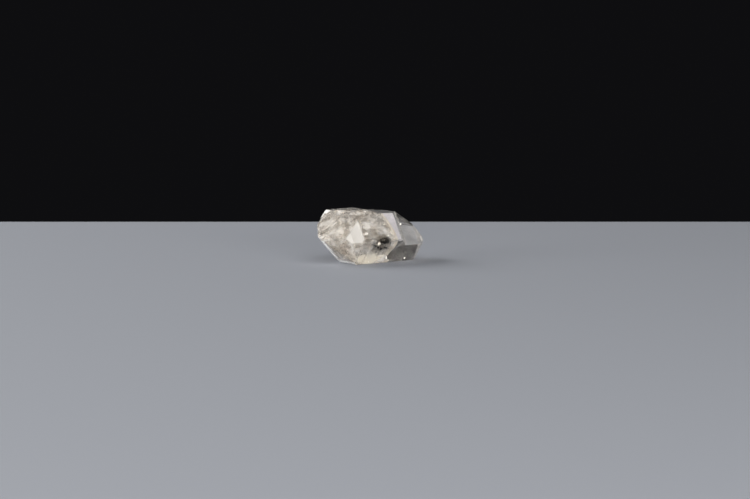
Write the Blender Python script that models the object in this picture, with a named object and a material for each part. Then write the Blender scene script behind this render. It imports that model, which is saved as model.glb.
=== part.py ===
"""A small clear quartz crystal with points at both ends, lying on one prism face.

Three parallel individuals have grown together: the clear main one, a milky one in front of it and a
higher one at the top left. All of them share the eighteen face directions of quartz. A face is named by
its form and place: m is a prism face, p a point face; 0 is the top one and 1 to 5 go round toward the
front (-Y); + is the right end (+X) and - the left end. The prism axis lies along X.
"""
import math
import random

import bmesh
import bpy
from mathutils import Matrix, Vector

MM = 0.001

# Quartz geometry: the ratio of the axes sets the slope of the point faces.
AXIAL_RATIO = 1.10
POINT_SLOPE = math.atan(2 * AXIAL_RATIO / math.sqrt(3))

# Place of the point that all face distances are measured from, in millimetres.
CENTRE_MM = (-0.045, 0.009, 4.30)

# Face distances of the clear main individual, in millimetres, from face 0 to face 5.
MAIN_PRISM_MM = (3.79, 3.17, 4.66, 4.27, 3.92, 4.87)
MAIN_RIGHT_MM = (5.74, 6.96, 8.09, 8.80, 5.50, 5.85)
MAIN_LEFT_MM = (6.64, 6.56, 6.44, 5.90, 5.82, 6.95)

# The milky individual stands out in front and ends in a step before the right point.
FRONT_MM = {
    "m1": 4.24, "m2": 4.71, "m0": 3.83, "m3": 4.20, "m4": 3.70, "m5": 4.60,
    "p0+": 5.70, "p1+": 5.43, "p2+": 6.35, "p3+": 6.60, "p5+": 4.40,
    "p0-": 7.13, "p1-": 5.75, "p2-": 6.30, "p3-": 5.84, "p4-": 5.74, "p5-": 7.50,
}

# The third individual is a low ridge along the top left.
RIDGE_MM = {
    "m0": 4.32, "m1": 4.08, "m2": 4.50, "m3": 3.40, "m4": 3.60, "m5": 5.35,
    "p0+": 3.20, "p1+": 3.80, "p2+": 5.20, "p3+": 5.20, "p4+": 5.20, "p5+": 4.30,
    "p0-": 6.92, "p1-": 3.65, "p2-": 5.30, "p3-": 4.90, "p4-": 5.30, "p5-": 7.73,
}

# The flat spot that the crystal rests on: how far it lies below the rest of its lowest prism face, and
# the distances of the faces that bound it.
REST_RISE_MM = 0.03
REST_LIMITS_MM = {"p3+": 8.35, "p3-": 5.72, "p2+": 7.7}

# The pale raised patch on the left point, with the faces that bound it.
PATCH_RISE_MM = 0.11
PATCH_LIMITS_MM = {"p5-": 1.95, "p1+": 0.9}

# Growth plates: how far the sides of a plate stay inside the face it lies on.
PLATE_INSET_MM = 0.07
PLATE_ROOT_MM = 0.12
BLOCK_MM = 60.0
SPECK_MM = 0.002
FLAT_ANGLE = math.radians(0.02)
SLICE_TOLERANCE_MM = 0.0001
PARALLEL_FACES = 0.05
SPOT_WEIGHT_FLOOR = 0.15
LIMIT_CHANCE = 0.72
LIMIT_SPREAD = (0.55, 1.35)
SEED = 24


def normal(face):
    """Outward direction of a face."""
    turn = math.radians(60 * int(face[1]))
    outward = Vector((0.0, -math.sin(turn), math.cos(turn)))
    if face[0] == "m":
        return outward
    along = 1.0 if face[2] == "+" else -1.0
    return outward * math.sin(POINT_SLOPE) + Vector((along * math.cos(POINT_SLOPE), 0.0, 0.0))


def main_distances():
    """Face distances of the main individual as one dictionary."""
    distances = {}
    for k in range(6):
        distances[f"m{k}"] = MAIN_PRISM_MM[k]
        distances[f"p{k}+"] = MAIN_RIGHT_MM[k]
        distances[f"p{k}-"] = MAIN_LEFT_MM[k]
    return distances


def centre():
    return Vector(CENTRE_MM) * MM


def corner(distances, first, second, third):
    """The point where three faces of an individual meet."""
    rows = Matrix([normal(first), normal(second), normal(third)])
    reach = Vector((distances[first], distances[second], distances[third]))
    return rows.inverted() @ reach * MM + centre()


def slice_away(shape, direction, distance):
    """Cut off what lies beyond a plane and close the cut."""
    everything = shape.verts[:] + shape.edges[:] + shape.faces[:]
    cut = bmesh.ops.bisect_plane(
        shape,
        geom=everything,
        dist=SLICE_TOLERANCE_MM * MM,
        plane_co=centre() + direction * distance * MM,
        plane_no=direction,
        clear_outer=True,
    )
    rim = [item for item in cut["geom_cut"] if isinstance(item, bmesh.types.BMEdge)]
    if rim:
        bmesh.ops.edgeloop_fill(shape, edges=rim)


def grown_solid(name, distances, collection, root=None):
    """Slice a block with every face plane, so that a closed crystal body is left.

    A plate gives its root as well: a face and a distance, and it is cut off flat there.
    """
    shape = bmesh.new()
    bmesh.ops.create_cube(shape, size=BLOCK_MM * MM)
    for face, distance in distances.items():
        slice_away(shape, normal(face), distance)
    if root:
        slice_away(shape, -normal(root[0]), -root[1])
    bmesh.ops.recalc_face_normals(shape, faces=shape.faces)
    return add_object(name, shape, collection)


def add_object(name, shape, collection):
    """Make a mesh object from a bmesh and free it."""
    mesh = bpy.data.meshes.new(name)
    shape.to_mesh(mesh)
    shape.free()
    item = bpy.data.objects.new(name, mesh)
    collection.objects.link(item)
    return item


def inset(distances, amount):
    """The same individual, a little smaller on every face."""
    return {face: distance - amount for face, distance in distances.items()}


def plate(name, base, face, rise, limits, collection):
    """A low growth plate on one face: inside the base on every side except that face."""
    distances = inset(base, PLATE_INSET_MM)
    for limit, distance in limits.items():
        distances[limit] = min(distances[limit], distance)
    distances[face] = base[face] + rise
    return grown_solid(name, distances, collection, (face, base[face] - PLATE_ROOT_MM))


def neighbours(face):
    """Faces that can bound a plate on this face, in the zones that quartz steps follow."""
    k = int(face[1])
    before, after = (k - 1) % 6, (k + 1) % 6
    if face[0] == "m":
        return [f"p{k}+", f"p{k}-", f"p{before}+", f"p{after}-", f"p{after}+", f"p{before}-"]
    end = face[2]
    return [f"m{k}", f"p{before}{end}", f"p{after}{end}", f"m{before}", f"m{after}"]


def face_spot(base, face, around, dice):
    """A random spot on a face: a blend of the corners that the face makes with its neighbours."""
    spots = []
    for first, second in zip(around, around[1:] + around[:1]):
        if first[0] == second[0] == "m" and abs(int(first[1]) - int(second[1])) == 3:
            continue
        rows = Matrix([normal(face), normal(first), normal(second)])
        if abs(rows.determinant()) < PARALLEL_FACES:
            continue
        spots.append(corner(base, face, first, second))
    weights = [dice.random() + SPOT_WEIGHT_FLOOR for _ in spots]
    total = sum(weights)
    spot = Vector((0.0, 0.0, 0.0))
    for weight, place in zip(weights, spots):
        spot += place * (weight / total)
    return spot


def rim_faces(face):
    """The faces that meet this one round its rim, in order."""
    k = int(face[1])
    before, after = (k - 1) % 6, (k + 1) % 6
    if face[0] == "m":
        return [f"p{k}+", f"m{after}", f"p{k}-", f"m{before}"]
    end = face[2]
    return [f"m{k}", f"p{before}{end}", f"p{after}{end}"]


def scatter_plates(base, label, face, count, rises, sizes, dice, collection):
    """Low plates at random spots of a face, bounded by the same face directions."""
    ring = neighbours(face)
    for number in range(count):
        spot = face_spot(base, face, rim_faces(face), dice)
        reach = dice.uniform(*sizes)
        limits = {}
        for limit in ring:
            if dice.random() < LIMIT_CHANCE:
                half = reach * dice.uniform(*LIMIT_SPREAD) / 2
                limits[limit] = normal(limit).dot(spot - centre()) / MM + half
        rise = dice.uniform(*rises)
        plate(f"plate_{label}_{face}_{number}", base, face, rise, limits, collection)


# Individual, face, number of plates, then the rise range and the size range in millimetres.
SCATTER = (
    ("front", "m1", 5, (0.04, 0.10), (1.2, 3.4)),
    ("front", "m2", 4, (0.04, 0.09), (1.2, 3.0)),
    ("front", "p1-", 6, (0.04, 0.12), (0.9, 2.8)),
    ("front", "p2-", 4, (0.04, 0.10), (0.9, 2.4)),
    ("front", "p0-", 2, (0.03, 0.07), (0.8, 2.0)),
    ("front", "p1+", 2, (0.02, 0.05), (0.6, 1.4)),
    ("main", "m0", 4, (0.03, 0.09), (1.2, 3.2)),
    ("main", "m1", 2, (0.02, 0.04), (0.8, 1.6)),
    ("main", "m2", 2, (0.02, 0.05), (1.0, 2.0)),
    ("main", "m4", 6, (0.04, 0.14), (1.4, 3.8)),
    ("main", "m5", 6, (0.04, 0.14), (1.4, 3.8)),
    ("main", "p0+", 3, (0.03, 0.09), (0.9, 2.2)),
    ("main", "p1+", 2, (0.02, 0.05), (0.6, 1.4)),
    ("main", "p2+", 2, (0.02, 0.06), (0.6, 1.4)),
    ("main", "p4+", 5, (0.04, 0.12), (1.0, 2.6)),
    ("main", "p5+", 3, (0.04, 0.12), (0.9, 2.2)),
    ("main", "p3-", 3, (0.03, 0.07), (0.8, 2.2)),
    ("main", "p4-", 3, (0.04, 0.10), (0.9, 2.4)),
    ("main", "p5-", 3, (0.04, 0.12), (0.9, 2.4)),
    ("ridge", "m0", 3, (0.02, 0.06), (1.0, 2.6)),
    ("ridge", "m5", 2, (0.03, 0.07), (1.0, 2.2)),
)

# Individual, face, number of pits, then the radius range in millimetres.
PITS = (
    ("front", "p1-", 3, (0.16, 0.30)),
    ("front", "p2-", 2, (0.14, 0.26)),
    ("main", "p5+", 2, (0.14, 0.28)),
    ("main", "p0+", 2, (0.12, 0.22)),
    ("main", "p4-", 2, (0.16, 0.30)),
    ("main", "p5-", 1, (0.14, 0.24)),
)
PIT_DEPTH_PER_RADIUS = 0.3
PIT_CLEAR_MM = 0.15
PIT_WALL_RUN = 2.2

# A chip is a little narrower one way than the other.
CHIP_STRETCH = (1.0, 0.8, 1.0)


def chip(name, spot, outward, radius, depth, collection):
    """A shell-shaped flake taken off a corner or an edge."""
    shape = bmesh.new()
    bmesh.ops.create_icosphere(shape, subdivisions=3, radius=radius * MM)
    bmesh.ops.scale(shape, vec=CHIP_STRETCH, verts=shape.verts)
    direction = outward.normalized()
    turn = direction.to_track_quat("Z", "Y").to_matrix().to_4x4()
    place = Matrix.Translation(spot + direction * (radius * CHIP_STRETCH[2] - depth) * MM)
    bmesh.ops.transform(shape, matrix=place @ turn, verts=shape.verts)
    return add_object(name, shape, collection)


def pit(name, spot, face, radius, depth, collection):
    """A three-sided growth pit with a flat floor."""
    above = PIT_CLEAR_MM
    slope = radius / (depth * PIT_WALL_RUN)
    shape = bmesh.new()
    bmesh.ops.create_cone(
        shape,
        segments=3,
        cap_ends=True,
        radius1=(radius - slope * depth) * MM,
        radius2=(radius + slope * above) * MM,
        depth=(depth + above) * MM,
    )
    direction = normal(face)
    side = direction.cross(Vector((1.0, 0.0, 0.0))).normalized()
    up_slope = side.cross(direction)
    if face[0] == "p" and face[2] == "-":
        up_slope.negate()
        side.negate()
    turn = Matrix((up_slope, direction.cross(up_slope), direction)).transposed().to_4x4()
    place = Matrix.Translation(spot + direction * (above - depth) * 0.5 * MM)
    bmesh.ops.transform(shape, matrix=place @ turn, verts=shape.verts)
    return add_object(name, shape, collection)


def tidy(shape):
    """Join points that all but coincide and drop specks of edges."""
    bmesh.ops.remove_doubles(shape, verts=shape.verts, dist=SPECK_MM * MM)
    bmesh.ops.dissolve_degenerate(shape, edges=shape.edges, dist=SPECK_MM * MM)


def keep_main_body(shape):
    """Delete specks that a union leaves loose inside or beside the crystal."""
    left = set(shape.verts)
    bodies = []
    while left:
        front = [left.pop()]
        body = set(front)
        while front:
            for edge in front.pop().link_edges:
                for point in edge.verts:
                    if point in left:
                        left.discard(point)
                        body.add(point)
                        front.append(point)
        bodies.append(body)
    bodies.sort(key=len)
    specks = [point for body in bodies[:-1] for point in body]
    bmesh.ops.delete(shape, geom=specks, context="VERTS")


def is_closed(shape):
    """True when every edge has exactly two faces and the shape has a volume."""
    return len(shape.faces) > 3 and all(len(edge.link_faces) == 2 for edge in shape.edges)


def crystal_material():
    """Clear, faintly smoky quartz."""
    material = bpy.data.materials.new("quartz")
    material.use_nodes = True
    surface = material.node_tree.nodes["Principled BSDF"]
    surface.inputs["Base Color"].default_value = (0.80, 0.78, 0.74, 1.0)
    surface.inputs["Roughness"].default_value = 0.08
    surface.inputs["Metallic"].default_value = 0.0
    surface.inputs["IOR"].default_value = 1.544
    surface.inputs["Transmission Weight"].default_value = 0.85
    return material


def combine(target, other, operation):
    """Join another solid to the target or cut it away, if that leaves one closed surface."""
    modifier = target.modifiers.new("combine", "BOOLEAN")
    modifier.operation = operation
    modifier.solver = "EXACT"
    modifier.object = other
    bpy.context.view_layer.update()
    graph = bpy.context.evaluated_depsgraph_get()
    result = bpy.data.meshes.new_from_object(target.evaluated_get(graph))
    target.modifiers.remove(modifier)
    shape = bmesh.new()
    shape.from_mesh(result)
    tidy(shape)
    keep_main_body(shape)
    kept = is_closed(shape)
    if kept:
        shape.to_mesh(target.data)
    shape.free()
    bpy.data.meshes.remove(result)
    other.hide_render = True
    other.display_type = "WIRE"
    return kept


def finish(target):
    """Make one face of each flat area, then triangles."""
    shape = bmesh.new()
    shape.from_mesh(target.data)
    bmesh.ops.dissolve_limit(shape, angle_limit=FLAT_ANGLE, verts=shape.verts, edges=shape.edges)
    bmesh.ops.triangulate(shape, faces=shape.faces)
    shape.to_mesh(target.data)
    shape.free()


def main():
    for item in list(bpy.data.objects):
        bpy.data.objects.remove(item)
    scene = bpy.context.scene
    parts = bpy.data.collections.new("quartz_crystal")
    added = bpy.data.collections.new("added_growth")
    taken = bpy.data.collections.new("taken_off")
    for collection in (parts, added, taken):
        scene.collection.children.link(collection)

    individuals = {"main": main_distances()}
    individuals["front"] = {**individuals["main"], **FRONT_MM}
    individuals["ridge"] = RIDGE_MM
    crystal = grown_solid("quartz_crystal", individuals["main"], parts)
    grown_solid("front_individual", individuals["front"], added)
    grown_solid("ridge_individual", individuals["ridge"], added)

    plate("rest_spot", individuals["main"], "m3", REST_RISE_MM, REST_LIMITS_MM, added)
    plate("pale_patch", individuals["front"], "p1-", PATCH_RISE_MM, PATCH_LIMITS_MM, added)

    dice = random.Random(SEED)
    for label, face, count, rises, sizes in SCATTER:
        scatter_plates(individuals[label], label, face, count, rises, sizes, dice, added)

    main_one = individuals["main"]
    front_one = individuals["front"]
    ridge_one = individuals["ridge"]
    chips = (
        ("left_tip", corner(front_one, "p1-", "p2-", "p4-"), (-1.0, -0.1, -0.1), 2.2, 0.10),
        ("notch", corner(main_one, "p3-", "p4-", "m4"), (-0.6, 0.3, -0.5), 0.7, 0.26),
        ("foot", corner(front_one, "m2", "m3", "p2-"), (-0.4, -0.8, -0.3), 0.9, 0.16),
        ("right_tip", corner(main_one, "p1+", "p2+", "p4+"), (1.0, -0.2, 0.0), 0.9, 0.06),
        ("right_base", corner(main_one, "m2", "m3", "p2+"), (0.5, -0.6, -0.4), 0.8, 0.14),
        ("ridge_end", corner(ridge_one, "m0", "m5", "p0+"), (0.5, 0.5, 0.7), 0.9, 0.10),
        ("ridge_tip", corner(ridge_one, "m0", "p0-", "p5-"), (-0.7, 0.3, 0.7), 0.7, 0.06),
        ("step_low", corner(front_one, "m1", "m2", "p1+"), (0.6, -0.8, -0.1), 0.5, 0.06),
        ("back_low", corner(main_one, "m3", "m4", "p4+"), (0.3, 0.5, -0.8), 0.9, 0.14),
        ("ridge_back", corner(ridge_one, "m5", "m0", "p5-"), (-0.3, 0.7, 0.7), 0.9, 0.07),
    )
    for name, spot, outward, radius, depth in chips:
        chip(f"chip_{name}", spot, Vector(outward), radius, depth, taken)
    for label, face, count, radii in PITS:
        for number in range(count):
            spot = face_spot(individuals[label], face, rim_faces(face), dice)
            radius = dice.uniform(*radii)
            pit(f"pit_{face}_{number}", spot, face, radius, radius * PIT_DEPTH_PER_RADIUS, taken)

    for collection, operation in ((added, "UNION"), (taken, "DIFFERENCE")):
        for other in list(collection.objects):
            if not combine(crystal, other, operation):
                print("left out", other.name)
    finish(crystal)
    crystal.data.materials.clear()
    crystal.data.materials.append(crystal_material())


main()
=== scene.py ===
import math

import bmesh
import bpy
import numpy as np
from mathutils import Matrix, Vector, noise
from mathutils.bvhtree import BVHTree


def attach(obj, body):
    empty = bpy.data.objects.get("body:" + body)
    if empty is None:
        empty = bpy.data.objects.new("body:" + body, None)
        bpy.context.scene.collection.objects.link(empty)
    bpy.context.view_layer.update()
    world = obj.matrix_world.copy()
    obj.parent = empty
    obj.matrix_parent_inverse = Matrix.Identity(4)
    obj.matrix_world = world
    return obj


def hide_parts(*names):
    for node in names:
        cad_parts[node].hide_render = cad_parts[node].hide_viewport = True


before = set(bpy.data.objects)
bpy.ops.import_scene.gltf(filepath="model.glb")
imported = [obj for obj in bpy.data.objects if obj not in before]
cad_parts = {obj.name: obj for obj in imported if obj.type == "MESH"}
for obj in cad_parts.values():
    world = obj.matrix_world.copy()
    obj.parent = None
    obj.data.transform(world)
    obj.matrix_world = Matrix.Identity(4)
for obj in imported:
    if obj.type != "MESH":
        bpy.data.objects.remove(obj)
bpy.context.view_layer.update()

MM = 0.001
SEED = 7
DICE = np.random.default_rng(SEED)

# The crystal's long axis lies along X. Prism faces m0 to m5 are numbered round it from the top
# toward the front, and each has a point face at either end.
AXIAL_RATIO = 1.10
POINT_SLOPE = math.atan(2 * AXIAL_RATIO / math.sqrt(3))
CENTRE_MM = np.array([-0.045, 0.009, 4.30])
QUARTZ_IOR = 1.544

# The photograph's viewpoint, in the crystal's own frame.
EYE_MM = CENTRE_MM + np.array([-414.398, -586.779, 86.37])
LOOK = np.array([0.57399, 0.80964, -0.12256])
RIGHT = np.array([0.81582, -0.57830, 0.0])
UP = np.array([0.07088, 0.09999, 0.99246])
LENS_MM = 210.86
SENSOR_MM = 36.0
PHOTO_WIDE, PHOTO_HIGH = 750, 499
FOCAL_PX = LENS_MM / SENSOR_MM * PHOTO_WIDE

FACET_JOIN_ANGLE = math.radians(0.3)
CREASE_ANGLE = math.radians(9.0)


def face_normal(turn, point=0):
    """Outward direction of a prism face, or of a point face where point is 1 or -1."""
    a = math.radians(60.0 * turn)
    out = np.array([0.0, -math.sin(a), math.cos(a)])
    if not point:
        return out
    return out * math.sin(POINT_SLOPE) + np.array([point * math.cos(POINT_SLOPE), 0.0, 0.0])


# The front faces that the inner features are placed under: direction and distance in mm.
FRONT_M1 = (face_normal(1), 4.24)
FRONT_M2 = (face_normal(2), 4.71)
FRONT_P1 = (face_normal(1, -1), 5.75)
FRONT_P2 = (face_normal(2, -1), 6.30)
MAIN_M1 = (face_normal(1), 3.17)
MAIN_M2 = (face_normal(2), 4.66)
MAIN_P1_RIGHT = (face_normal(1, 1), 6.96)


def pixels_of(points):
    """Where points in mm lie in the photograph."""
    rel = points - EYE_MM
    depth = rel @ LOOK
    across = 0.5 * PHOTO_WIDE + FOCAL_PX * (rel @ RIGHT) / depth
    down = 0.5 * PHOTO_HIGH - FOCAL_PX * (rel @ UP) / depth
    return across, down


def bend(ray, n):
    """The direction of a ray of light once it is inside the crystal, behind a face."""
    cos_in = -ray @ n
    cos_out = math.sqrt(1.0 - (1.0 - cos_in ** 2) / QUARTZ_IOR ** 2)
    return ray / QUARTZ_IOR + (cos_in / QUARTZ_IOR - cos_out) * n


def under(face, px, py, depth):
    """The point in mm that shows at a pixel through a face, at a depth along the bent ray."""
    n, distance = face
    ray = LOOK + RIGHT * (px - 0.5 * PHOTO_WIDE) / FOCAL_PX + UP * (0.5 * PHOTO_HIGH - py) / FOCAL_PX
    ray = ray / np.linalg.norm(ray)
    entry = EYE_MM + ray * ((distance - n @ (EYE_MM - CENTRE_MM)) / (n @ ray))
    return entry + bend(ray, n) * depth


def make_camera():
    """The camera at the photograph's viewpoint."""
    data = bpy.data.cameras.new("camera")
    data.sensor_width = SENSOR_MM
    data.lens = LENS_MM
    data.clip_start = 0.05
    data.clip_end = 5.0
    cam = bpy.data.objects.new("camera", data)
    bpy.context.scene.collection.objects.link(cam)
    cam.location = Vector(EYE_MM) * MM
    cam.rotation_mode = "QUATERNION"
    cam.rotation_quaternion = Vector(LOOK).to_track_quat("-Z", "Y")
    bpy.context.scene.camera = cam


class Nodes:
    """Short calls for the nodes of one material."""

    def __init__(self, name):
        self.mat = bpy.data.materials.new(name)
        self.mat.use_nodes = True
        self.tree = self.mat.node_tree
        self.shader = self.tree.nodes["Principled BSDF"]
        self.at = self.tree.nodes.new("ShaderNodeTexCoord").outputs["Object"]

    def link(self, out, into):
        if hasattr(out, "is_output"):
            self.tree.links.new(out, into)
        else:
            into.default_value = out

    def set(self, **values):
        for name, value in values.items():
            self.link(value, self.shader.inputs[name.replace("_", " ")])

    def math(self, op, a, b=0.0, c=0.0):
        n = self.tree.nodes.new("ShaderNodeMath")
        n.operation = op
        for i, v in enumerate((a, b, c)):
            self.link(v, n.inputs[i])
        return n.outputs[0]

    def step(self, value, low, high, to_low=0.0, to_high=1.0):
        n = self.tree.nodes.new("ShaderNodeMapRange")
        n.interpolation_type = "SMOOTHSTEP"
        self.link(value, n.inputs["Value"])
        for name, v in (("From Min", low), ("From Max", high), ("To Min", to_low), ("To Max", to_high)):
            n.inputs[name].default_value = v
        return n.outputs["Result"]

    def along(self, direction, offset=0.0):
        """Distance in mm along a direction, less an offset."""
        n = self.tree.nodes.new("ShaderNodeVectorMath")
        n.operation = "DOT_PRODUCT"
        self.link(self.at, n.inputs[0])
        n.inputs[1].default_value = [float(c) / MM for c in direction]
        return self.math("SUBTRACT", n.outputs["Value"], float(offset))

    def noise(self, per_mm, detail=4.0, rough=0.55, stretch=(1, 1, 1), distortion=0.0):
        scale = self.tree.nodes.new("ShaderNodeVectorMath")
        scale.operation = "MULTIPLY"
        self.link(self.at, scale.inputs[0])
        scale.inputs[1].default_value = [per_mm / MM * s for s in stretch]
        n = self.tree.nodes.new("ShaderNodeTexNoise")
        self.link(scale.outputs[0], n.inputs["Vector"])
        n.inputs["Scale"].default_value = 1.0
        n.inputs["Detail"].default_value = detail
        n.inputs["Roughness"].default_value = rough
        n.inputs["Distortion"].default_value = distortion
        return n.outputs["Fac"]

    def mix(self, fac, a, b):
        n = self.tree.nodes.new("ShaderNodeMix")
        n.data_type = "RGBA"
        for i, v in ((0, fac), (6, a), (7, b)):
            self.link(v, n.inputs[i])
        return n.outputs[2]

    def bump(self, height, strength, distance_mm):
        n = self.tree.nodes.new("ShaderNodeBump")
        n.inputs["Strength"].default_value = strength
        n.inputs["Distance"].default_value = distance_mm * MM
        self.link(height, n.inputs["Height"])
        return n.outputs["Normal"]


def rgba(r, g, b):
    return (r, g, b, 1.0)


# The clouded zone ends at a rim that reaches furthest right at one height and bows back above and
# below it. Toward the back the cloud thins to a share of its strength.
RIM_HEIGHT_MM = 3.9
RIM_FAR_MM = 2.2
RIM_BOW_UP, RIM_BOW_DOWN = 0.09, 0.20
RIM_WOBBLE_MM = 0.6
RIM_FADE_MM = (-0.1, 0.35)
THINNING_MM = (0.5, 3.5)
BACK_SHARE = 0.3


def milky_share(n):
    """1 in the clouded part of the crystal, 0 in the clear part."""
    z = n.along((0, 0, 1), RIM_HEIGHT_MM)
    up = n.math("MAXIMUM", z, 0.0)
    down = n.math("MINIMUM", z, 0.0)
    rim = n.math("MULTIPLY", n.math("MULTIPLY", up, up), -RIM_BOW_UP)
    rim = n.math("ADD", rim, n.math("MULTIPLY", n.math("MULTIPLY", down, down), -RIM_BOW_DOWN))
    wobble = n.math("MULTIPLY_ADD", n.noise(0.9), RIM_WOBBLE_MM, RIM_FAR_MM - RIM_WOBBLE_MM / 2)
    depth = n.math("SUBTRACT", n.math("ADD", rim, wobble), n.along((1, 0, 0)))
    side = n.step(depth, *RIM_FADE_MM)
    front = n.step(n.along((0, 1, 0)), *THINNING_MM, 1.0, BACK_SHARE)
    return n.math("MULTIPLY", side, front)


# The top left facet is painted white between two distances from the centre, a painted highlight.
RIDGE_P0_MM = (6.78, 7.0)
RIDGE_SOFT_MM = 0.03

# The lower left face and the right point's front face are painted white and frosted where they near
# a hidden face behind, which lies at a distance from the centre: a painted highlight for the glints
# along these rims. Each rim fades over a range short of it, and the foot of the lower left face over
# a range of heights.
RAGGED_MM = 0.9
LEFT_RIM_MM = 5.74
LEFT_FADE_MM = (-0.75, -0.4)
FOOT_FADE_MM = (0.3, 0.65)
RIGHT_RIM_MM = 5.50
RIGHT_FADE_MM = (-0.5, -0.3)
RIGHT_RAGGED_SHARE = 0.3

# The pale patch of the left point, by pixel, with its soft edge in mm.
PATCH_PIXELS = ((358, 218.5), (341, 246.5), (362.5, 244), (366, 239.5))
PATCH_SOFT_MM = 0.3

# The window of clear stone in front of the dark specks, by pixel, with its reach in mm.
WINDOW_PIXEL = (382, 243.5)
WINDOW_REACH_MM = 2.0

HAZE_DARK = rgba(0.56, 0.50, 0.43)
HAZE_PALE = rgba(0.86, 0.82, 0.76)
PATCH_TONE = rgba(0.52, 0.495, 0.46)
PATCH_LEFT_TONE = rgba(0.80, 0.77, 0.72)
# Painted highlight: the white of the top left facet and of the rims of the points.
PAINTED_HIGHLIGHT_TONE = rgba(0.97, 0.96, 0.94)
CLEAR_TONE = rgba(0.90, 0.87, 0.83)

# How much of the see-through stone the haze, the patch, the painted highlights and the dust cover.
CLOUD_COVER = 0.5
PATCH_COVER = 1.3
PAINTED_HIGHLIGHT_COVER = 0.45
DUST_COVER = (0.02, 0.14)
CLEAR_ROUGHNESS = 0.015
COVER_ROUGHNESS = 0.38

ABSORBED_TONE = rgba(0.93, 0.90, 0.84)
ABSORBED_PER_M = 45.0

# Stains of the clouded zone: face, pixel, reach in mm, colour and share. The cream at the bottom
# is a warm tint with painted light, made bright to stand for the light that comes from below.
# The cream at the bottom is painted light: a warm tint made bright for the light from below.
CREAM = rgba(1.0, 0.93, 0.80)
BROWN = rgba(0.40, 0.33, 0.27)
WARM_GREY = rgba(0.62, 0.58, 0.53)
DULL = rgba(0.50, 0.46, 0.41)
STAINS_AND_LIT_PATCH = (
    (FRONT_P1, 354.5, 216.5, 1.1, BROWN, 0.6), (FRONT_P1, 334, 239, 1.0, BROWN, 0.6),
    (FRONT_P1, 331, 230, 0.6, BROWN, 0.5), (FRONT_P2, 345, 248.5, 1.3, BROWN, 0.5),
    (FRONT_M2, 370, 259.5, 2.0, CREAM, 1.0), (FRONT_M2, 361, 258.0, 1.2, CREAM, 0.9),
    (FRONT_M2, 380, 258.5, 1.2, CREAM, 0.8), (FRONT_M1, 380, 221, 1.3, WARM_GREY, 0.7),
    (FRONT_M1, 370, 218, 1.0, WARM_GREY, 0.7), (FRONT_M2, 361, 250, 1.5, WARM_GREY, 0.7),
    (FRONT_P1, 340, 226, 1.6, WARM_GREY, 0.5), (FRONT_P1, 329, 226, 2.4, DULL, 0.6),
    (FRONT_P1, 334, 236, 1.6, DULL, 0.5), (FRONT_P1, 340, 212, 1.8, DULL, 0.6),
    (FRONT_M1, 352, 212, 1.8, DULL, 0.6),
)


def facet_share(n, direction, low=0.985, high=0.997):
    """1 on the facets that face a direction."""
    dot = n.tree.nodes.new("ShaderNodeVectorMath")
    dot.operation = "DOT_PRODUCT"
    n.link(n.tree.nodes["Texture Coordinate"].outputs["Normal"], dot.inputs[0])
    dot.inputs[1].default_value = [float(c) for c in direction]
    return n.step(dot.outputs["Value"], low, high)


def beyond(n, turn, point, distance):
    """How far in mm a place lies outside a face plane; below zero inside."""
    out = face_normal(turn, point)
    return n.along(out, CENTRE_MM @ out + distance)


def painted_highlight_faces(n):
    """1 where highlights are painted white: on the top left facet and along the rims of the left and right
    points.
    """
    low, high = RIDGE_P0_MM
    above = n.step(beyond(n, 0, -1, low), -RIDGE_SOFT_MM, RIDGE_SOFT_MM)
    below = n.step(beyond(n, 0, -1, high), -RIDGE_SOFT_MM, RIDGE_SOFT_MM, 1.0, 0.0)
    ridge = n.math("MULTIPLY", above, below)
    top = n.math("MULTIPLY", facet_share(n, face_normal(0, -1)), ridge)
    ragged = n.math("MULTIPLY_ADD", n.noise(1.5, 5.0), RAGGED_MM, -RAGGED_MM / 2)
    side = n.step(n.math("ADD", beyond(n, 4, -1, LEFT_RIM_MM), ragged), *LEFT_FADE_MM)
    foot = n.step(n.math("ADD", n.along((0, 0, 1)), ragged), *FOOT_FADE_MM, 1.0, 0.0)
    rim = n.math("MAXIMUM", side, foot)
    less_ragged = n.math("MULTIPLY", ragged, RIGHT_RAGGED_SHARE)
    right = n.step(n.math("ADD", beyond(n, 4, 1, RIGHT_RIM_MM), less_ragged), *RIGHT_FADE_MM)
    right = n.math("MULTIPLY", right, facet_share(n, face_normal(1, 1)))
    left = n.math("MULTIPLY", facet_share(n, face_normal(3, -1)), rim)
    return n.math("MAXIMUM", top, n.math("MAXIMUM", left, right))


def raised_patch(n):
    """1 on the pale patch of the left point."""
    corners = [under(FRONT_P1, x, y, 0.0) for x, y in PATCH_PIXELS]
    middle = sum(corners) / len(corners)
    inside = facet_share(n, face_normal(1), 0.6, 0.7)
    for a, b in zip(corners, corners[1:] + corners[:1]):
        inward = np.cross(FRONT_P1[0], b - a)
        inward = inward / np.linalg.norm(inward) * np.sign(inward @ (middle - a))
        inside = n.math("MULTIPLY", inside, n.step(n.along(inward, inward @ a), 0.0, PATCH_SOFT_MM))
    return inside


def near(n, spot, reach, edge):
    """1 within a distance in mm of a spot, with a ragged edge."""
    gap = n.tree.nodes.new("ShaderNodeVectorMath")
    gap.operation = "DISTANCE"
    n.link(n.at, gap.inputs[0])
    gap.inputs[1].default_value = [float(c) * MM for c in spot]
    away = n.math("MULTIPLY_ADD", gap.outputs["Value"], 1.0 / MM, edge)
    return n.step(away, 0.45 * reach, 1.1 * reach, 1.0, 0.0)


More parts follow.
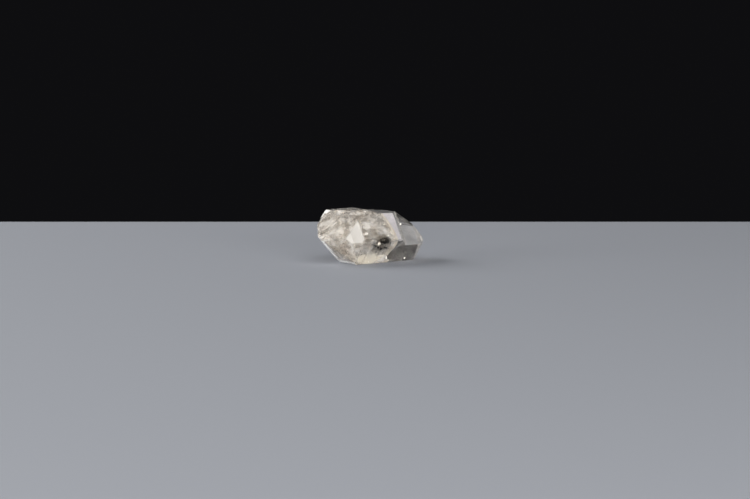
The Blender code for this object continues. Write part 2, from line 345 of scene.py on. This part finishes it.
def quartz_material():
    """Clear quartz with a milky zone, stains, a cream patch of painted light, painted highlights on faces
    and rims, and a little dust.
    """
    n = Nodes("quartz_crystal_glass")
    milky = milky_share(n)
    painted_highlight = painted_highlight_faces(n)
    patch = raised_patch(n)
    streaks = n.noise(0.62, 7.0, 0.66, (0.7, 1.6, 1.6), 0.25)
    cloud = n.math("MULTIPLY", milky, n.step(streaks, 0.36, 0.64, 0.2, 1.0))
    blotch = n.step(n.noise(0.55, 6.0, 0.64), 0.38, 0.62)
    haze = n.mix(blotch, HAZE_DARK, HAZE_PALE)
    edge = n.math("MULTIPLY_ADD", n.noise(1.1, 5.0, 0.6), 1.4, -0.7)
    thick = n.math("MULTIPLY", patch, PATCH_COVER)
    for face, x, y, reach, colour, share in STAINS_AND_LIT_PATCH:
        stain_and_light = n.math("MULTIPLY", near(n, under(face, x, y, 0.0), reach, edge), share)
        haze = n.mix(stain_and_light, haze, colour)
        # The cream at the bottom, painted light, also covers the see-through stone.
        if colour is CREAM:
            thick = n.math("MAXIMUM", thick, stain_and_light)
    haze = n.mix(patch, haze, PATCH_TONE)
    haze = n.mix(n.math("MULTIPLY", patch, facet_share(n, face_normal(1))), haze, PATCH_LEFT_TONE)
    # Painted highlight: the top left facet and the rims of the points turn white.
    haze = n.mix(painted_highlight, haze, PAINTED_HIGHLIGHT_TONE)
    n.set(Base_Color=n.mix(milky, CLEAR_TONE, haze))
    window = near(n, under(FRONT_M2, *WINDOW_PIXEL, 0.0), WINDOW_REACH_MM, edge)
    cloud = n.math("MULTIPLY", cloud, n.math("SUBTRACT", 1.0, window))
    cloud = n.math("MAXIMUM", cloud, thick)
    dust = n.step(n.noise(0.8, 6.0, 0.62), 0.38, 0.66, *DUST_COVER)
    # The painted highlights also cover the see-through stone and make it rough.
    cover = n.math("ADD", n.math("MULTIPLY", cloud, CLOUD_COVER), n.math("MULTIPLY", painted_highlight, PAINTED_HIGHLIGHT_COVER))
    cover = n.math("ADD", cover, n.math("MULTIPLY", dust, n.math("SUBTRACT", 1.0, milky)))
    n.set(Transmission_Weight=n.math("SUBTRACT", 1.0, cover))
    n.set(Roughness=n.math("MULTIPLY_ADD", cover, COVER_ROUGHNESS, CLEAR_ROUGHNESS))
    n.set(IOR=QUARTZ_IOR)
    n.set(Normal=n.bump(n.noise(1.6, 3.0, 0.5), 0.12, 0.02))
    absorb = n.tree.nodes.new("ShaderNodeVolumeAbsorption")
    absorb.inputs["Color"].default_value = ABSORBED_TONE
    absorb.inputs["Density"].default_value = ABSORBED_PER_M
    n.tree.links.new(absorb.outputs["Volume"], n.tree.nodes["Material Output"].inputs["Volume"])
    return n.mat


def inclusion_material(name, colour, other, roughness, metallic=0.0):
    """A film or speck inside the stone, in two colours that change from place to place."""
    n = Nodes(name)
    n.set(Base_Color=n.mix(n.step(n.noise(1.4, 4.0), 0.35, 0.65), colour, other))
    n.set(Roughness=roughness, Metallic=metallic)
    return n.mat


def add_piece(name, mesh, mat, rides=True):
    """Put a mesh in the scene, as part of the crystal unless rides is False."""
    obj = bpy.data.objects.new(name, mesh)
    bpy.context.scene.collection.objects.link(obj)
    mesh.materials.append(mat)
    if rides:
        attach(obj, "root")
    return obj


def mesh_from(name, points_mm, faces):
    mesh = bpy.data.meshes.new(name)
    mesh.from_pydata((np.asarray(points_mm) * MM).tolist(), [], faces.tolist())
    mesh.update()
    return mesh


def unit(v):
    v = np.atleast_2d(v)
    return v / np.maximum(np.linalg.norm(v, axis=1, keepdims=True), 1e-12)


FLAKE_SIDES = 4
FLAKE_SKEW = 0.35
FLAKE_REACH = (0.6, 1.25)


def flakes(name, centres, normals, radii, thin, mat):
    """Many small closed lenses, each with a ragged four-sided rim and two poles."""
    count = len(centres)
    normals = unit(normals)
    side = unit(np.cross(normals, DICE.normal(size=(count, 3))))
    other = np.cross(normals, side)
    corners = []
    for k in range(FLAKE_SIDES):
        a = math.pi / 2 * k + DICE.uniform(-FLAKE_SKEW, FLAKE_SKEW, count)
        r = radii * DICE.uniform(*FLAKE_REACH, count)
        corners.append(centres + side * (np.cos(a) * r)[:, None] + other * (np.sin(a) * r)[:, None])
    lift = normals * (radii * thin)[:, None]
    points = np.stack(corners + [centres + lift, centres - lift], axis=1).reshape(-1, 3)
    rim = [(k, (k + 1) % FLAKE_SIDES) for k in range(FLAKE_SIDES)]
    top, low = FLAKE_SIDES, FLAKE_SIDES + 1
    pattern = [(a, b, top) for a, b in rim] + [(b, a, low) for a, b in rim]
    faces = (np.arange(count)[:, None, None] * (FLAKE_SIDES + 2) + np.array(pattern)[None]).reshape(-1, 3)
    return add_piece(name, mesh_from(name, points, faces), mat)


# A line in this direction crosses the skin an odd number of times when it starts inside. It goes
# on a small step in metres past each crossing.
PROBE = Vector((0.131, 0.273, 0.953)).normalized()
PROBE_STEP = 1e-6
WELD_GAP = 1e-7


def skin_mesh():
    """The crystal's skin with its facets joined and its edges sharp, and a tree to measure from."""
    bm = bmesh.new()
    bm.from_mesh(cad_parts["quartz_crystal"].data)
    bmesh.ops.remove_doubles(bm, verts=bm.verts[:], dist=WELD_GAP)
    bmesh.ops.dissolve_limit(bm, angle_limit=FACET_JOIN_ANGLE, verts=bm.verts[:], edges=bm.edges[:])
    bmesh.ops.triangulate(bm, faces=bm.faces[:])
    for edge in bm.edges:
        edge.smooth = not (edge.is_manifold and edge.calc_face_angle(0.0) > CREASE_ANGLE)
    for face in bm.faces:
        face.smooth = True
    mesh = bpy.data.meshes.new("crystal")
    bm.to_mesh(mesh)
    tree = BVHTree.FromBMesh(bm)
    bm.free()
    return mesh, tree


def depths_of(points, tree):
    """How far each point in mm lies below the skin; below zero outside."""
    found = np.empty(len(points))
    for i, p in enumerate(points):
        spot = Vector(p) * MM
        found[i] = tree.find_nearest(spot)[3] / MM
        crossings = 0
        hit = tree.ray_cast(spot, PROBE)[0]
        while hit is not None:
            crossings += 1
            hit = tree.ray_cast(hit + PROBE * PROBE_STEP, PROBE)[0]
        if crossings % 2 == 0:
            found[i] = -found[i]
    return found


def rim_of(z):
    """X in mm where the clouded zone ends, at a height."""
    up, down = np.maximum(z - RIM_HEIGHT_MM, 0), np.minimum(z - RIM_HEIGHT_MM, 0)
    return RIM_FAR_MM - RIM_BOW_UP * up ** 2 - RIM_BOW_DOWN * down ** 2


def wisps(points, per_mm, seed_shift):
    """Smooth random values from about -1 to 1."""
    shift = Vector((seed_shift, 3.1 * seed_shift, 0.7))
    return np.array([noise.fractal(Vector(p) * per_mm + shift, 0.9, 2.1, 4) for p in points])


# Places in the photograph where the cloud is thinner or thicker: pixel, reach and factor.
CLOUD_SPOTS = (
    (354, 217, 5, 4, 0.15), (333, 239, 4, 3.5, 0.2), (331, 229, 3, 2, 0.3), (347, 248, 9, 2.5, 0.3),
    (380, 244, 10, 6, 0.03), (366, 253, 5, 3.5, 0.35), (384, 228, 4, 4, 0.5), (372, 219, 5, 3, 0.6),
    (355, 234, 8, 8, 2.2), (330, 216, 5, 4, 1.5), (372, 233, 4, 4, 1.4), (345, 225, 4, 3, 1.3),
)


def spot_factor(points):
    """How much thinner or thicker the cloud is at each point, from the spots of the photograph."""
    px, py = pixels_of(points)
    factor = np.ones(len(points))
    for x, y, rx, ry, f in CLOUD_SPOTS:
        share = np.exp(-((px - x) / rx) ** 2 - ((py - y) / ry) ** 2)
        factor *= f ** share
    return factor


CLOUD_PIECES = 2
CLOUD_FLAKES = 24000
CLOUD_TRIES = 420000
CLOUD_LOW_MM = np.array([-9.9, -5.1, 0.1])
CLOUD_HIGH_MM = np.array([2.6, 4.6, 8.6])
CLOUD_DEPTH_MM = 0.14
CLOUD_FADE_MM = 2.2
CLOUD_RADII_MM = (0.018, 0.055)
LARGE_SHARE, LARGE_FACTOR = 0.06, 1.9
WISP_ACROSS = np.array([0.45, 0.25, -0.86])


def milky_cloud(tree):
    """Fluid inclusions: a patchy cloud with wisps that run up to the right."""
    points = DICE.uniform(CLOUD_LOW_MM, CLOUD_HIGH_MM, (CLOUD_TRIES, 3))
    points = points[points[:, 0] < rim_of(points[:, 2]) - 0.15]
    slant = points @ WISP_ACROSS
    streak = wisps(np.stack([slant * 3.2, points[:, 1] * 0.4, points[:, 0] * 0.35], axis=1), 0.5, 4.0)
    patch = wisps(points, 0.42, 9.0)
    chance = np.clip(0.30 + 0.75 * streak + 0.6 * patch, 0.02, 1.2) * spot_factor(points)
    front = np.clip(1.25 - 0.16 * (points[:, 1] + 4.0), 0.3, 1.0)
    points = points[DICE.uniform(0, 1, len(points)) < chance * front]
    depth = depths_of(points, tree)
    fade = np.exp(-depth / CLOUD_FADE_MM) * 1.3
    keep = (depth > CLOUD_DEPTH_MM) & (DICE.uniform(0, 1, len(points)) < fade)
    points = points[keep]
    radii = DICE.uniform(*CLOUD_RADII_MM, len(points))
    radii *= np.where(DICE.uniform(0, 1, len(points)) < LARGE_SHARE, LARGE_FACTOR, 1.0)
    tilt = WISP_ACROSS + DICE.normal(0, 0.5, (len(points), 3))
    pale = inclusion_material("fluid_inclusions", rgba(0.96, 0.93, 0.88), rgba(0.88, 0.82, 0.75), 0.45)
    for k in range(CLOUD_PIECES):
        part = slice(k, CLOUD_FLAKES * CLOUD_PIECES, CLOUD_PIECES)
        flakes(f"milky_cloud_{k + 1}", points[part], tilt[part], radii[part], 0.3, pale)


def veil_points(centre, normal, spread, bow, count):
    """Random spots on a bowed sheet."""
    normal = unit(normal)[0]
    side = unit(np.cross(normal, [0.3, 0.1, 1.0]))[0]
    other = np.cross(normal, side)
    s = DICE.normal(0, spread[0], count)
    t = DICE.normal(0, spread[1], count)
    lift = bow * (s ** 2 + t ** 2) + DICE.normal(0, 0.02, count)
    points = centre + side * s[:, None] + other * t[:, None] + normal * lift[:, None]
    tilt = normal - 2 * bow * (side * s[:, None] + other * t[:, None])
    return points, tilt


# Healed fractures: centre in mm, direction, spread in mm, bow, number of flakes.
VEILS = (
    ((-6.5, -1.2, 6.0), (0.5, 0.3, -0.8), (1.3, 0.8), 0.10, 1500),
    ((-4.3, -2.6, 5.6), (0.5, 0.1, -0.85), (1.4, 0.7), 0.08, 1500),
    ((-5.0, -1.8, 3.0), (0.4, 0.4, -0.8), (1.6, 0.8), -0.08, 1300),
    ((-2.4, -3.0, 6.2), (0.6, 0.0, -0.8), (1.2, 0.7), 0.08, 1300),
    ((-7.6, 0.2, 5.0), (0.6, -0.4, -0.7), (1.0, 0.9), 0.10, 1000),
    ((-1.0, 1.8, 4.0), (0.7, -0.3, 0.5), (1.5, 1.3), 0.05, 1600),
    ((-3.5, 2.8, 5.6), (0.3, 0.8, 0.5), (1.5, 1.0), 0.05, 1300),
    ((2.6, 1.9, 3.8), (0.8, 0.5, 0.2), (0.9, 1.3), 0.06, 1100),
    ((-6.0, 2.2, 3.4), (0.2, 0.7, -0.7), (1.3, 0.9), 0.06, 1000),
    ((0.2, -1.0, 2.2), (0.2, 0.5, 0.85), (1.8, 0.7), 0.05, 1300),
    ((-5.6, 0.4, 4.6), (0.35, 0.9, -0.2), (1.7, 1.5), 0.04, 4200),
    ((-7.2, -0.8, 5.6), (0.6, 0.7, -0.3), (0.9, 0.9), 0.06, 3000),
    ((-1.5, 0.2, 4.4), (0.25, 0.9, -0.3), (1.5, 1.4), 0.04, 2600),
)


VEIL_DEPTH_MM = 0.16
VEIL_RADII_MM = (0.02, 0.06)


def veils(tree):
    """Healed fractures: bowed sheets of small silvery flakes."""
    points, tilts = [], []
    for centre, normal, spread, bow, count in VEILS:
        p, t = veil_points(np.array(centre), normal, spread, bow, count)
        points.append(p)
        tilts.append(t)
    points, tilts = np.concatenate(points), np.concatenate(tilts)
    keep = depths_of(points, tree) > VEIL_DEPTH_MM
    keep &= DICE.uniform(0, 1, len(points)) < spot_factor(points)
    points, tilts = points[keep], tilts[keep]
    radii = DICE.uniform(*VEIL_RADII_MM, len(points))
    silvery = inclusion_material("healed_fracture", rgba(0.95, 0.93, 0.90), rgba(0.86, 0.81, 0.75), 0.2)
    flakes("healed_fractures", points, tilts, radii, 0.2, silvery)


# The pale curved rim of the clouded zone, by pixel from the top edge down.
RIM_PIXELS = (
    (FRONT_M1, 382.5, 213.5), (FRONT_M1, 386, 219), (FRONT_M1, 389.5, 225), (FRONT_M1, 392.5, 231),
    (FRONT_M1, 394.5, 236), (FRONT_M1, 396, 239.5), (FRONT_M2, 396, 243.5), (FRONT_M2, 393, 247.5),
    (FRONT_M2, 388.5, 251.5), (FRONT_M2, 384, 256),
)


RIM_FLAKES = 5000
RIM_SHIFT_PX = -2.5
RIM_DEPTH_MM = 0.4
RIM_FILM_DEPTH_MM = 0.24
RIM_RADII_MM = (0.025, 0.06)


def rim_band(tree):
    """Cream edge of the bowed fracture that bounds the cloud, with a sheet that runs in behind it."""
    front = np.array([under(face, x + RIM_SHIFT_PX, y, RIM_DEPTH_MM) for face, x, y in RIM_PIXELS])
    inward = unit(np.array([-0.55, 0.8, 0.1]))[0]
    at = DICE.uniform(0, len(front) - 1.001, RIM_FLAKES)
    i = at.astype(int)
    line = front[i] + (front[i + 1] - front[i]) * (at - i)[:, None]
    deep = np.abs(DICE.normal(0, 1, RIM_FLAKES)) ** 1.6 * 0.8
    across = DICE.normal(0, 0.17, RIM_FLAKES) * np.exp(-deep)
    points = line + inward * deep[:, None] + np.array([0.8, 0.25, 0.0]) * across[:, None]
    keep = depths_of(points, tree) > 0.1
    points = points[keep]
    tilt = np.array([0.75, -0.55, 0.3]) + DICE.normal(0, 0.35, (len(points), 3))
    cream = inclusion_material("rim_film", rgba(0.95, 0.90, 0.80), rgba(0.88, 0.81, 0.72), 0.4)
    sheet_film("cream_rim_upper", FRONT_M1, RIM_TOP, RIM_FILM_DEPTH_MM, cream)
    sheet_film("cream_rim_lower", FRONT_M2, RIM_LOW, RIM_FILM_DEPTH_MM, cream)
    flakes("rim_flakes", points, tilt, DICE.uniform(*RIM_RADII_MM, len(points)), 0.25, cream)


# Dark specks by pixel: face, x, y, half width and half height of the group in pixels, number of
# grains, and the largest grain in mm.
SPECKS = (
    (FRONT_M1, 388.8, 238.5, 2.6, 1.3, 70, 0.27), (FRONT_M2, 385.0, 242.0, 5.0, 0.9, 80, 0.22),
    (FRONT_M2, 391.5, 243.2, 1.1, 0.9, 16, 0.22), (FRONT_M2, 372.6, 243.0, 1.5, 1.2, 22, 0.24),
    (FRONT_M2, 374.5, 246.0, 1.6, 1.0, 18, 0.21), (FRONT_M2, 380.6, 249.0, 0.9, 1.5, 16, 0.21),
    (FRONT_M2, 378.0, 247.6, 2.0, 0.8, 14, 0.17), (FRONT_M2, 386.0, 247.4, 2.0, 1.1, 14, 0.17),
    (FRONT_M2, 368.5, 253.5, 2.6, 1.4, 24, 0.20), (FRONT_M2, 376.0, 251.8, 1.6, 1.2, 12, 0.15),
    (FRONT_M2, 381.5, 255.0, 1.4, 0.9, 10, 0.14), (FRONT_M2, 361.0, 249.5, 4.5, 2.0, 14, 0.10),
    (FRONT_M2, 380.0, 246.0, 9.0, 4.5, 26, 0.10), (FRONT_P2, 344.5, 248.0, 4.5, 0.9, 18, 0.07),
    (FRONT_P1, 333.5, 239.0, 2.0, 2.0, 14, 0.07), (FRONT_P1, 331.0, 229.5, 2.2, 1.0, 8, 0.07),
    (FRONT_P1, 354.0, 217.0, 2.5, 1.5, 8, 0.06), (FRONT_M1, 383.0, 239.0, 3.0, 1.0, 16, 0.16),
)


SPECK_DEPTHS_MM = (0.13, 0.32)
SPECK_SIZES = (0.35, 1.0)
SPECK_STRETCH = (0.45, 1.15)
SPECK_JAG = 0.35


def dark_specks(tree):
    """Black specks of carbon near the front faces, each a faceted lump."""
    centres, sizes = [], []
    for face, x, y, wide, high, count, largest in SPECKS:
        for _ in range(count):
            dx, dy = DICE.normal(0, 0.5, 2)
            centres.append(under(face, x + dx * wide, y + dy * high, DICE.uniform(*SPECK_DEPTHS_MM)))
            sizes.append(DICE.uniform(*SPECK_SIZES) * largest)
    centres, sizes = np.array(centres), np.array(sizes)
    keep = depths_of(centres, tree) > sizes * 1.1 + 0.02
    centres, sizes = centres[keep], sizes[keep]
    bm = bmesh.new()
    for centre, size in zip(centres, sizes):
        made = bmesh.ops.create_icosphere(bm, subdivisions=2, radius=1.0)["verts"]
        stretch = Vector(DICE.uniform(*SPECK_STRETCH, 3))
        jag = Vector(DICE.uniform(0, 50, 3))
        for v in made:
            ragged = 1.0 + SPECK_JAG * noise.noise(v.co * 1.7 + jag)
            lump = Vector([c * s for c, s in zip(v.co, stretch)])
            v.co = Vector(centre) * MM + lump * (ragged * size * MM)
    mesh = bpy.data.meshes.new("dark_specks")
    bm.to_mesh(mesh)
    bm.free()
    black = inclusion_material("carbon", rgba(0.006, 0.006, 0.005), rgba(0.018, 0.015, 0.012), 0.6)
    add_piece("dark_specks", mesh, black)


# Outlines of the films, by pixel.
RIM_TOP = (
    (380.6, 213.4), (382.4, 213.4), (386.8, 219), (391.2, 225.5), (394.6, 231), (397.0, 236),
    (398.2, 239.6), (394.2, 239.8), (392.0, 235.5), (389.4, 231), (386.4, 225.5), (383.0, 219),
)
RIM_LOW = (
    (394.2, 241.2), (398.0, 241.0), (397.2, 244), (394.0, 248.2), (390.0, 252), (385.5, 257.5),
    (381.5, 257.0), (386.0, 251.5), (390.0, 247.6), (393.0, 244),
)
WARM_LIT_PATCH = (
    (357, 259.5), (361, 255.8), (364, 254.6), (366.5, 256.6), (369.5, 257.4), (372, 256.2),
    (374, 254.4), (377, 255.2), (379, 256.8), (381, 256.0), (385, 257.6), (389, 260.0),
    (387, 262.6), (371, 263.6), (359, 263.4),
)
PALE_PATCH = ((358, 219.5), (342, 246), (362.5, 243.5), (366, 239.5))
BRIGHT_STRIP = (
    (381.6, 213.4), (392.8, 213.2), (401.5, 239.2), (397.2, 239.4), (393.6, 230.5),
    (388.6, 222.0), (384.8, 216.5),
)
# Outlines of the grey sheets of painted shade behind the dark specks, by pixel.
SHADE_SHEET_LOW = (
    (367, 242), (372, 241), (396, 241), (392, 246), (388, 251), (381, 255), (370, 255.5),
    (363, 251), (362, 246),
)
SMOKY_EDGE = ((394.5, 246), (396.5, 250), (396.5, 260), (386, 261.5), (386.5, 257), (391, 251))
SHADE_SHEET_TOP = ((374, 240), (376, 237), (381, 234.5), (388, 233.5), (391.5, 235.5), (394, 240))


def inside_outline(x, y, outline):
    """Which pixels lie inside a closed outline."""
    inside = np.zeros(len(x), bool)
    for (x0, y0), (x1, y1) in zip(outline, outline[1:] + outline[:1]):
        crosses = (y0 > y) != (y1 > y)
        with np.errstate(divide="ignore", invalid="ignore"):
            inside ^= crosses & (x < (x1 - x0) * (y - y0) / (y1 - y0) + x0)
    return inside


FILM_CELLS = 40
FILM_THICK_MM = 0.02
FILM_RIPPLE_MM = 0.05
FILM_SKIN_MM = 0.09


def sheet_film(name, face, outline, depth, mat):
    """A smooth thin film that fills an outline of the photograph under one face."""
    corners = np.array(outline)
    low, high = corners.min(axis=0), corners.max(axis=0)
    xs = np.linspace(low[0], high[0], FILM_CELLS + 1)
    ys = np.linspace(low[1], high[1], FILM_CELLS + 1)
    bm = bmesh.new()
    made = {}

    def vert(i, j):
        if (i, j) not in made:
            ripple = FILM_RIPPLE_MM * noise.noise(Vector((xs[i] * 0.35, ys[j] * 0.22, 0.0)))
            made[i, j] = bm.verts.new(Vector(under(face, xs[i], ys[j], depth + ripple)) * MM)
        return made[i, j]

    for i in range(FILM_CELLS):
        for j in range(FILM_CELLS):
            mid = np.array([(xs[i] + xs[i + 1]) / 2]), np.array([(ys[j] + ys[j + 1]) / 2])
            if inside_outline(*mid, outline)[0]:
                bm.faces.new((vert(i, j), vert(i + 1, j), vert(i + 1, j + 1), vert(i, j + 1)))
    bmesh.ops.recalc_face_normals(bm, faces=bm.faces[:])
    bmesh.ops.solidify(bm, geom=bm.faces[:], thickness=FILM_THICK_MM * MM)
    for f in bm.faces:
        f.smooth = True
    mesh = bpy.data.meshes.new(name)
    bm.to_mesh(mesh)
    bm.free()
    add_piece(name, mesh, mat)


FILM_FLAKE_TILT = 0.5


def film(name, face, outline, depths, count, radii, mat, tree):
    """A patch of flakes that fills an outline of the photograph under one face."""
    corners = np.array(outline)
    x = DICE.uniform(corners[:, 0].min(), corners[:, 0].max(), count)
    y = DICE.uniform(corners[:, 1].min(), corners[:, 1].max(), count)
    keep = inside_outline(x, y, outline)
    points = np.array([under(face, a, b, DICE.uniform(*depths)) for a, b in zip(x[keep], y[keep])])
    points = points[depths_of(points, tree) > FILM_SKIN_MM]
    turned = face[0] + DICE.normal(0, FILM_FLAKE_TILT, (len(points), 3))
    flakes(name, points, turned, DICE.uniform(*radii, len(points)), 0.2, mat)


def films(tree):
    """The warm film with painted light, the pale film, the grey sheets of painted shade, and the brown and
    bright films, each at its depth in mm under a face.
    """
    # The warm film is painted near white: a warm tint with painted light for the light from below.
    peach_lit = inclusion_material("warm_film_painted_light", rgba(1.0, 0.94, 0.84), rgba(1.0, 0.89, 0.76), 0.5)
    film("warm_flakes_painted_light", FRONT_M2, WARM_LIT_PATCH, (0.15, 0.4), 3000, (0.03, 0.06), peach_lit, tree)
    sheet_film("warm_patch_painted_light", FRONT_M2, WARM_LIT_PATCH, 0.14, peach_lit)
    pearl = inclusion_material("pale_film", rgba(0.78, 0.74, 0.70), rgba(0.72, 0.69, 0.65), 0.4)
    sheet_film("pale_patch", FRONT_P1, PALE_PATCH, 0.4, pearl)
    # Painted shade: grey sheets behind the specks keep the clear window dark instead of showing the light
    # behind.
    shade_grey = inclusion_material("painted_shade_film", rgba(0.62, 0.60, 0.57), rgba(0.34, 0.32, 0.30), 0.6)
    sheet_film("painted_shade_sheet_low", FRONT_M2, SHADE_SHEET_LOW, 1.4, shade_grey)
    sheet_film("painted_shade_sheet_top", FRONT_M1, SHADE_SHEET_TOP, 0.9, shade_grey)
    brown = inclusion_material("brown_flakes", rgba(0.34, 0.31, 0.27), rgba(0.16, 0.14, 0.12), 0.5)
    film("brown_veil", FRONT_M2, SMOKY_EDGE, (0.3, 1.0), 1500, (0.025, 0.06), brown, tree)
    lilac = inclusion_material("bright_film", rgba(0.90, 0.88, 0.95), rgba(0.84, 0.82, 0.88), 0.3)
    sheet_film("bright_strip", FRONT_M1, BRIGHT_STRIP, 0.45, lilac)


# Silvery flashes by pixel: face, x, y, half length and half width in pixels, turn in degrees.
FLASHES = (
    (FRONT_P1, 328.5, 228, 1.6, 0.8, 25), (FRONT_P1, 335.5, 220, 1.2, 1.0, 0),
    (FRONT_P1, 349, 221.5, 0.9, 0.6, 40), (FRONT_M1, 369, 226.8, 1.2, 1.0, -30),
    (FRONT_M1, 373, 228.2, 1.0, 0.8, 0), (FRONT_M2, 379.2, 243.8, 2.0, 1.7, 40),
    (FRONT_M1, 388, 235.6, 1.0, 0.8, 30), (FRONT_P1, 355, 245.8, 1.1, 0.8, 20),
    (FRONT_M1, 366.5, 234, 2.0, 0.7, 5), (MAIN_M1, 399.6, 224.4, 2.4, 1.0, 32),
    (FRONT_M2, 370.5, 244.8, 1.0, 0.8, 0), (MAIN_M2, 404.5, 258, 1.1, 0.9, 30),
    (FRONT_P1, 332, 232, 1.0, 0.5, 35), (FRONT_P2, 347.5, 250, 1.4, 0.7, 10),
    (FRONT_P2, 341, 253, 1.2, 0.6, 10), (FRONT_M2, 366, 256.5, 1.3, 0.8, 20),
    (FRONT_P1, 337, 225, 1.2, 0.5, 38), (MAIN_P1_RIGHT, 421.0, 238.5, 4.2, 0.8, -80),
    (MAIN_P1_RIGHT, 417.0, 231.0, 3.0, 0.4, -56), (FRONT_M1, 384.5, 224.5, 1.5, 0.5, 20),
    (FRONT_M1, 377, 231, 1.2, 0.4, 30), (FRONT_P1, 344, 229, 1.6, 0.5, 38),
)

# The cracks are turned to throw the front top light, which lies in this direction, at the eye.
FLASH_LIGHT = np.array([-0.222, -0.667, 0.711])
FLASH_RANGE_MM = 727.0
FLASH_DEPTH_MM = 0.16
FLASH_HALF_THICK_MM = 0.012
FLASH_CORNERS = 9
FLASH_REACH = (0.72, 1.1)


def flashes():
    """Small thin cracks that throw the light back."""
    bm = bmesh.new()
    mm_per_px = 1.0 / FOCAL_PX * FLASH_RANGE_MM
    for face, x, y, long_px, wide_px, turn in FLASHES:
        centre = under(face, x, y, FLASH_DEPTH_MM)
        facing = unit(-bend(LOOK, face[0]) - bend(-FLASH_LIGHT, face[0]))[0]
        a = math.radians(turn)
        side = RIGHT * math.cos(a) + UP * math.sin(a)
        side = unit(side - facing * (side @ facing))[0]
        other = np.cross(facing, side)
        ring = []
        for k in range(FLASH_CORNERS):
            t = 2 * math.pi * k / FLASH_CORNERS
            r = DICE.uniform(*FLASH_REACH)
            p = centre + side * (math.cos(t) * r * long_px * mm_per_px)
            ring.append(p + other * (math.sin(t) * r * wide_px * mm_per_px))
        top = [bm.verts.new(Vector(p + facing * FLASH_HALF_THICK_MM) * MM) for p in ring]
        low = [bm.verts.new(Vector(p - facing * FLASH_HALF_THICK_MM) * MM) for p in ring]
        bm.faces.new(top)
        bm.faces.new(low[::-1])
        for k in range(FLASH_CORNERS):
            j = (k + 1) % FLASH_CORNERS
            bm.faces.new((top[k], low[k], low[j], top[j]))
    bmesh.ops.recalc_face_normals(bm, faces=bm.faces[:])
    mesh = bpy.data.meshes.new("silver_flashes")
    bm.to_mesh(mesh)
    bm.free()
    white = inclusion_material("crack_flash", rgba(1.0, 0.99, 0.97), rgba(0.98, 0.96, 0.92), 0.3, 0.7)
    add_piece("silver_flashes", mesh, white)


# Names, directions from the crystal, distances and sizes in metres, and radiance of the soft lights.
LIGHTS = (
    ("back_left", (-0.5, 0.7, 0.55), 0.65, (0.45, 0.40), 8.0),
    ("back_right", (0.877, 0.476, 0.12), 0.65, (0.14, 0.40), 0.35),
    ("side_left", (-0.90, 0.15, 0.12), 0.65, (0.40, 0.25), 11.0),
    ("front_low", (-0.35, -0.93, 0.12), 0.75, (0.60, 0.22), 14.0),
    ("front_top", (-0.25, -0.75, 0.80), 0.75, (0.60, 0.55), 3.6),
)
LIGHTS_ABOVE = Vector((0, 0, 0.004))


def area_light(name, toward, distance, size, radiance):
    """A soft panel of light that faces the crystal."""
    data = bpy.data.lights.new(name, "AREA")
    data.shape = "RECTANGLE"
    data.size, data.size_y = size
    data.energy = radiance * math.pi * size[0] * size[1]
    obj = bpy.data.objects.new(name, data)
    bpy.context.scene.collection.objects.link(obj)
    direction = Vector(toward).normalized()
    obj.location = direction * distance + LIGHTS_ABOVE
    obj.rotation_mode = "QUATERNION"
    obj.rotation_quaternion = direction.to_track_quat("Z", "Y")
    obj.visible_camera = False


FLOOR_HALF = 0.5
FLOOR_BEHIND = 0.056
FLOOR_TONE = rgba(0.25, 0.26, 0.285)
ROOM_TONE = rgba(0.0045, 0.0045, 0.0052)


def make_room():
    """The floor, which ends a little way behind the crystal, the dark room and the lights."""
    bm = bmesh.new()
    bmesh.ops.create_grid(bm, x_segments=1, y_segments=1, size=FLOOR_HALF)
    mesh = bpy.data.meshes.new("floor")
    bm.to_mesh(mesh)
    bm.free()
    n = Nodes("floor_matt")
    n.set(Base_Color=FLOOR_TONE, Roughness=0.75, Specular_IOR_Level=0.2)
    floor = add_piece("floor", mesh, n.mat, rides=False)
    look = Vector((LOOK[0], LOOK[1], 0)).normalized()
    floor.rotation_euler = (0, 0, math.atan2(look.y, look.x))
    floor.location = look * (FLOOR_BEHIND - FLOOR_HALF)
    world = bpy.data.worlds.new("room")
    bpy.context.scene.world = world
    world.use_nodes = True
    world.node_tree.nodes["Background"].inputs[0].default_value = ROOM_TONE
    for light in LIGHTS:
        area_light(*light)


make_camera()
skin, skin_tree = skin_mesh()
crystal = add_piece("crystal", skin, quartz_material())
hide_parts("quartz_crystal")
milky_cloud(skin_tree)
veils(skin_tree)
rim_band(skin_tree)
dark_specks(skin_tree)
flashes()
films(skin_tree)
make_room()

scene = bpy.context.scene
scene.view_settings.view_transform = "Standard"
scene.cycles.max_bounces = 24
scene.cycles.transmission_bounces = 20
scene.cycles.glossy_bounces = 10
scene.cycles.transparent_max_bounces = 16
